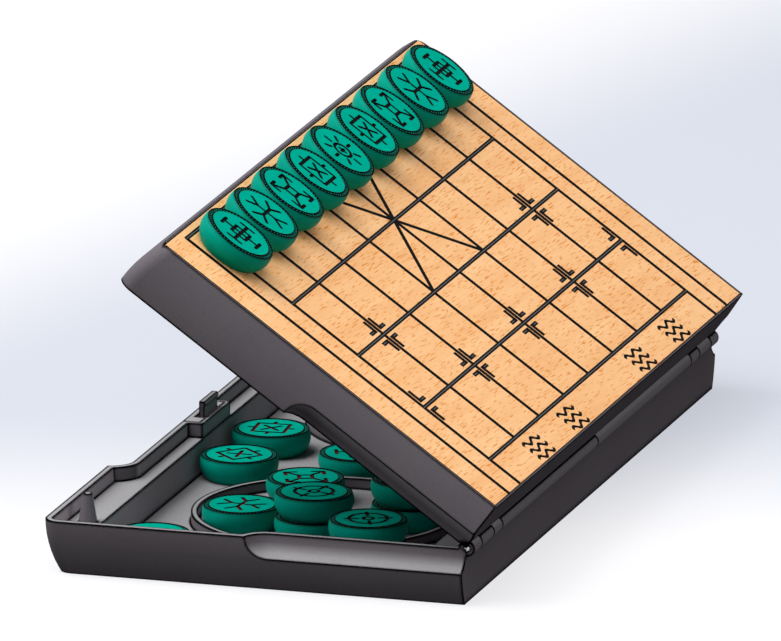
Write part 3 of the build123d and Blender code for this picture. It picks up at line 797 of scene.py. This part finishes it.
# %% Place the pieces
LID_LEVEL = 0.04  # metres: a solid that starts higher than this lies on the lid
SHARP = radians(32)  # an edge with a larger angle stays sharp
lean, fall = cos(LID_TILT), sin(LID_TILT)
lid_axes = Matrix(((-1, 0, 0), (0, -lean, fall), (0, fall, lean))).transposed()
upright = Matrix.Identity(3)


def seat_of(name, axes):
    """Matrix that puts a piece, drawn at the origin, where a solid stands."""
    inverse = axes.transposed()
    spots = [inverse @ vertex.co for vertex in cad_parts[name].data.vertices]
    low = [min(spot[i] for spot in spots) for i in range(3)]
    high = [max(spot[i] for spot in spots) for i in range(3)]
    foot = axes @ Vector(((low[0] + high[0]) / 2, (low[1] + high[1]) / 2, low[2]))
    return Matrix.Translation(foot) @ axes.to_4x4()


def place_piece(name):
    """Stand a finished playing piece in its solid's place."""
    side, kind = name.split("_")[:2]
    on_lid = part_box(name)[0].z > LID_LEVEL
    axes = lid_axes if on_lid else upright
    turn = 0.0 if on_lid else random.uniform(0, 2 * pi)
    mesh = templates[side, kind].copy()
    mesh.transform(seat_of(name, axes) @ Matrix.Rotation(turn, 4, "Z"))
    mesh.shade_smooth()
    mesh.set_sharp_from_angle(angle=SHARP)
    piece = bpy.data.objects.new("turned_" + name, mesh)
    bpy.context.scene.collection.objects.link(piece)
    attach(piece, name)
    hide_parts(name)
    return piece


names = sorted(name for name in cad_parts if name.startswith(("black_", "red_")))
pieces = [place_piece(name) for name in names]
print(len(pieces), "pieces,", sum(len(piece.data.polygons) for piece in pieces), "faces")

# %% [markdown]
# ## Lines of the board
# The board's lines lie in grooves cut in the wood. A line is a black bed with a narrower rubbed
# core along the ranks. A bar of unit length is drawn once. The tree sets it out in a row, with the
# count, the first place, the step, the length and the turn as inputs.

# %% Line row tree
ruling, given = new_tree(
    "line_row", count=INT, first=VECTOR, step=VECTOR, length=FLOAT, turn=FLOAT, finish=MATERIAL
)
row = add(
    ruling, "GeometryNodeMeshLine",
    {"Count": given["count"], "Start Location": given["first"], "Offset": given["step"]}, mode="OFFSET",
)
turn = add(ruling, COMBINE, {"Z": given["turn"]})
size = add(ruling, COMBINE, {"X": given["length"], "Y": 1.0, "Z": 1.0})
bars = add(
    ruling, "GeometryNodeInstanceOnPoints",
    {"Points": row, "Instance": given["Geometry"], "Rotation": turn, "Scale": size},
)
close_tree(ruling, bars, given["finish"])

# %% [markdown]
# A bed is as deep as its groove. Its ink stands a hair above the wood and bleeds past the edges of
# the groove, more along the files than along the ranks.

# %% Sections of the lines
GROOVE, GROOVE_DEPTH, FILM = 0.6, 0.38, 0.014  # half width and depth of a groove, thickness of the ink
INK_EDGE = 0.04  # width over which the ink thins out
CORE, CORE_TOP = 0.15, 0.12  # half width of a rubbed core, at its foot and at its top
CORE_SUNK, CORE_RISE = 0.01, 0.022  # how far a core reaches below and above the ink's top
UNIT = 0.5 / MM  # half a metre, in millimetres


def bar(name, section):
    """A bar one metre long on X with the given section of (across, height) in millimetres."""
    points = [(end * UNIT, y, z) for end in (-1, 1) for y, z in section]
    return mesh_of(name, points, stack_faces(len(section)))


def bed(name, bleed):
    """An inked groove whose ink runs past both of its edges by the bleed."""
    edge, low = GROOVE + bleed, -GROOVE_DEPTH
    right = [(GROOVE, low), (GROOVE, 0), (edge, 0), (edge - INK_EDGE, FILM)]
    return bar(name, [(-GROOVE, low)] + right + [(INK_EDGE - edge, FILM), (-edge, 0), (-GROOVE, 0)])


wide, middling, narrow = bed("wide", 0.42), bed("middling", 0.25), bed("narrow", 0.05)
core_low, core_high = FILM - CORE_SUNK, FILM + CORE_RISE
core = bar("core", [(-CORE, core_low), (CORE, core_low), (CORE_TOP, core_high), (-CORE_TOP, core_high)])
print("a bed has", len(wide.polygons), "faces")

# %% [markdown]
# The board has nine files and, on each half, five ranks. The inner seven files stop at the river,
# and the outer two cross it. A border runs round the other sides, and diagonals mark the palace.

# %% Rules of the board
FILE_PITCH, RANK_PITCH, FIRST_RANK = 25.0, 24.1, 108.45
PANEL_BACK, BORDER_X, BORDER_Y = 0.9, 111.2, 119.05
RIVER = RANK_PITCH / 2
QUARTER = pi / 2
lines = []


def line_row(name, profile, ink, count, first, step, length, turn=0.0, lift=0.0):
    """Add a row of lines in board axes: x along the hinge, y from it, z out of the board."""
    place = [first[0] * MM, first[1] * MM, lift * MM]
    stride = [step[0] * MM, step[1] * MM, 0.0]
    values = {"count": count, "first": place, "step": stride, "length": length * MM, "turn": turn}
    lines.append(grow(name, profile, ruling, finish=ink, **values))


line_end = FIRST_RANK + GROOVE
inner_middle, outer_middle = (RIVER + line_end) / 2, (PANEL_BACK + line_end) / 2
border_middle, border_length = (PANEL_BACK + BORDER_Y) / 2, BORDER_Y - PANEL_BACK + GROOVE
rank_length = 8 * FILE_PITCH + 2 * GROOVE
core_length = rank_length - 0.5  # the cores stop just short of the outer files' edges
palace_middle = FIRST_RANK - RANK_PITCH
palace_length = hypot(2 * FILE_PITCH, 2 * RANK_PITCH)
palace_turn = atan2(2 * RANK_PITCH, 2 * FILE_PITCH)
# rows that cross are lifted by a few thousandths of a millimetre, so that no two films share a plane
line_row("files", wide, black_enamel, 7, (-3 * FILE_PITCH, inner_middle), (FILE_PITCH, 0),
         line_end - RIVER, QUARTER)
line_row("outer_files", wide, black_enamel, 2, (-4 * FILE_PITCH, outer_middle), (8 * FILE_PITCH, 0),
         line_end - PANEL_BACK, QUARTER, 0.002)
line_row("border_sides", wide, black_enamel, 2, (-BORDER_X, border_middle), (2 * BORDER_X, 0),
         border_length, QUARTER, 0.002)
line_row("border_front", narrow, black_enamel, 1, (0, BORDER_Y), (0, 0), 2 * (BORDER_X + GROOVE), lift=0.004)
line_row("ranks", narrow, black_enamel, 5, (0, RIVER), (0, RANK_PITCH), rank_length, lift=0.006)
line_row("rank_cores", core, grey_enamel, 5, (0, RIVER), (0, RANK_PITCH), core_length, lift=0.006)
line_row("front_core", core, grey_enamel, 1, (0, BORDER_Y), (0, 0), 2 * BORDER_X, lift=0.006)
for turn in (palace_turn, -palace_turn):
    line_row("palace", middling, black_enamel, 1, (0, palace_middle), (0, 0), palace_length, turn, 0.001)
print(len(lines), "rows of lines")

# %% [markdown]
# Round the starting points of the guns and foot soldiers the board has four small corner marks
# each, a black bed with a rubbed core like the ranks. The arm along a file has more bleed, so an odd
# number of quarter turns would put it along a rank. One corner is drawn for even turns and one for
# odd turns, and a tree sets it on every point, at the turn that is stored on the point.

# %% Corner marks
marking, given = new_tree("corner_marks", corner=OBJECT, finish=MATERIAL)
shape = add(marking, "GeometryNodeObjectInfo", {"Object": given["corner"]}).outputs["Geometry"]
stored = add(marking, "GeometryNodeInputNamedAttribute", {"Name": "turn"}, data_type="FLOAT")
turn = add(marking, COMBINE, {"Z": stored})
points = add(marking, "GeometryNodeMeshToPoints", {0: given["Geometry"]})
corners = add(
    marking, "GeometryNodeInstanceOnPoints", {"Points": points, "Instance": shape, "Rotation": turn}
)
close_tree(marking, corners, given["finish"])

TICK_GAP, TICK_LENGTH, TICK_LIFT = 2.3, 4.3, 0.01
starts = [(n, 2) for n in (-3, 3)] + [(n, 3) for n in (-4, -2, 0, 2, 4)]  # file, and rank from the edge
spots = []
for n, ranks in starts:
    for quarters, (across, along) in enumerate(((1, 1), (-1, 1), (-1, -1), (1, -1))):
        if abs(n + across) <= 4:
            x = n * FILE_PITCH + across * TICK_GAP
            y = FIRST_RANK - ranks * RANK_PITCH + along * TICK_GAP
            spots.append((quarters, (x, y, TICK_LIFT)))
print(len(spots), "corner marks")


# %% [markdown]
# A corner is outlines at several heights: at the groove's floor, at the wood's face, and on top of
# the ink, whose outline is larger. A core is a short stub along one arm.

# %% Set the corners out
def elbow(x_arm, y_arm, end):
    """Outline of a corner, from half the width of its arm along x, half that along y, and their end."""
    return [(-y_arm, -x_arm), (end, -x_arm), (end, x_arm), (y_arm, x_arm), (y_arm, end), (-y_arm, end)]


def set_out(title, odd, levels, ink):
    """A small shape, from outlines and their heights, on every corner with odd or even quarter turns."""
    chosen = [(quarters, spot) for quarters, spot in spots if quarters % 2 == odd]
    spot_mesh = mesh_of("spots", [spot for _, spot in chosen])
    turns = [quarters * QUARTER for quarters, _ in chosen]
    spot_mesh.attributes.new("turn", "FLOAT", "POINT").data.foreach_set("value", turns)
    points = [(x, y, z) for outline, z in levels for x, y in outline]
    faces = stack_faces(len(levels[0][0]), len(levels))
    corner = bpy.data.objects.new("corner", mesh_of("corner", points, faces))
    bpy.context.scene.collection.objects.link(corner)
    lines.append(grow(title, spot_mesh, marking, corner=corner, finish=ink))
    bpy.data.objects.remove(corner)


FILE_ARM, RANK_ARM, INK_END = GROOVE + 0.35, GROOVE + 0.05, TICK_LENGTH + 0.05
cut_outline = elbow(GROOVE, GROOVE, TICK_LENGTH)
for title, odd, arms in (("even_corners", 0, (RANK_ARM, FILE_ARM)), ("odd_corners", 1, (FILE_ARM, RANK_ARM))):
    ink_outline = elbow(*arms, INK_END)
    levels = [(cut_outline, -GROOVE_DEPTH), (cut_outline, 0.0), (ink_outline, 0.0), (ink_outline, FILM)]
    set_out(title, odd, levels, black_enamel)

STUB, STUB_RISE = 0.13, 0.016  # half width of a corner's core, and how far it stands above the ink
STUB_START, STUB_END = 1.2, TICK_LENGTH - 0.3
stub = [(STUB_START, -STUB), (STUB_END, -STUB), (STUB_END, STUB), (STUB_START, STUB)]
for title, odd, outline in (("even_cores", 0, stub), ("odd_cores", 1, [(-y, x) for x, y in stub])):
    set_out(title, odd, [(outline, FILM - CORE_SUNK), (outline, FILM + STUB_RISE)], grey_enamel)
print(len(lines), "meshes of lines so far")

# %% [markdown]
# ## Ripples on the river
# The strip between the two armies is the river. Each half of the board carries four small signs of
# running water there, three wavy lines one over another. The tree bends a line into a wave, makes
# it a flat ribbon and repeats it upwards from each sign's lower left corner.

# %% Ripples
rippling, given = new_tree(
    "ripples", lines=INT, spacing=FLOAT, length=FLOAT, swing=FLOAT, waves=FLOAT, width=FLOAT, finish=MATERIAL
)
straight = add(
    rippling, "GeometryNodeCurvePrimitiveLine", {"Direction": (1, 0, 0), "Length": given["length"]},
    mode="DIRECTION",
)
fine = add(rippling, "GeometryNodeResampleCurve", {"Curve": straight, "Count": 33})
share = add(rippling, "GeometryNodeSplineParameter")
passed = add(rippling, MATH, {0: share, 1: given["waves"]}, operation="MULTIPLY")
phase = add(rippling, MATH, {0: passed, 1: 2 * pi}, operation="MULTIPLY")
height = add(rippling, MATH, {0: phase}, operation="SINE")
lift = add(rippling, MATH, {0: height, 1: given["swing"]}, operation="MULTIPLY")
offset = add(rippling, COMBINE, {"Y": lift})
wave = add(rippling, "GeometryNodeSetPosition", {"Geometry": fine, "Offset": offset})
flat = add(rippling, "GeometryNodeSetCurveNormal", {"Curve": wave}, mode="Z_UP")
section = add(
    rippling, "GeometryNodeCurvePrimitiveQuadrilateral", {"Width": given["width"], "Height": 2 * FILM * MM}
)
ribbon = add(
    rippling, "GeometryNodeCurveToMesh", {"Curve": flat, "Profile Curve": section, "Fill Caps": True}
)
upwards = add(rippling, COMBINE, {"Y": given["spacing"]})
stack = add(rippling, "GeometryNodeMeshLine", {"Count": given["lines"], "Offset": upwards}, mode="OFFSET")
sign = add(rippling, "GeometryNodeInstanceOnPoints", {"Points": stack, "Instance": ribbon})
signs = add(rippling, "GeometryNodeInstanceOnPoints", {"Points": given["Geometry"], "Instance": sign})
close_tree(rippling, signs, given["finish"])

RIPPLE_LENGTH, RIPPLE_SPACING = 14.0, 2.9
RIPPLE_X, RIPPLE_Y = (-69.0, -34.5, 34.5, 69.0), 5.4  # the middles of the signs
river_spots = mesh_of(
    "river_spots", [(x - RIPPLE_LENGTH / 2, RIPPLE_Y - RIPPLE_SPACING, 0) for x in RIPPLE_X]
)
lines.append(grow(
    "ripples", river_spots, rippling, lines=3, spacing=RIPPLE_SPACING * MM, length=RIPPLE_LENGTH * MM,
    swing=0.8 * MM, waves=2.0, width=1.1 * MM, finish=black_enamel,
))
print("ripples have", len(lines[-1].polygons), "faces")

# %% [markdown]
# The board's axes are the hinge frames of the two halves, with z counted from the board's face.
# The lid's ink stands a hair proud. The base's is sunk by a little more than that hair, because the
# box stands on its face.

# %% Lay the lines on both halves
HALF_HEIGHT, SINK = 16.2, 0.05
base_axes = Matrix(((1, 0, 0), (0, -1, 0), (0, 0, -1))).transposed()
for body, axes, sink in (("lid", lid_axes, 0.0), ("base", base_axes, SINK)):
    mesh = joined(body + "_lines", lines)
    shift = Matrix.Translation(HINGE_LINE + axes @ Vector((0, 0, (HALF_HEIGHT - sink) * MM)))
    mesh.transform(shift @ axes.to_4x4())
    ruled = bpy.data.objects.new(body + "_lines", mesh)
    bpy.context.scene.collection.objects.link(ruled)
    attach(ruled, body)
    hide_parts(body + "_grid")
    print(ruled.name, len(mesh.polygons), "faces")
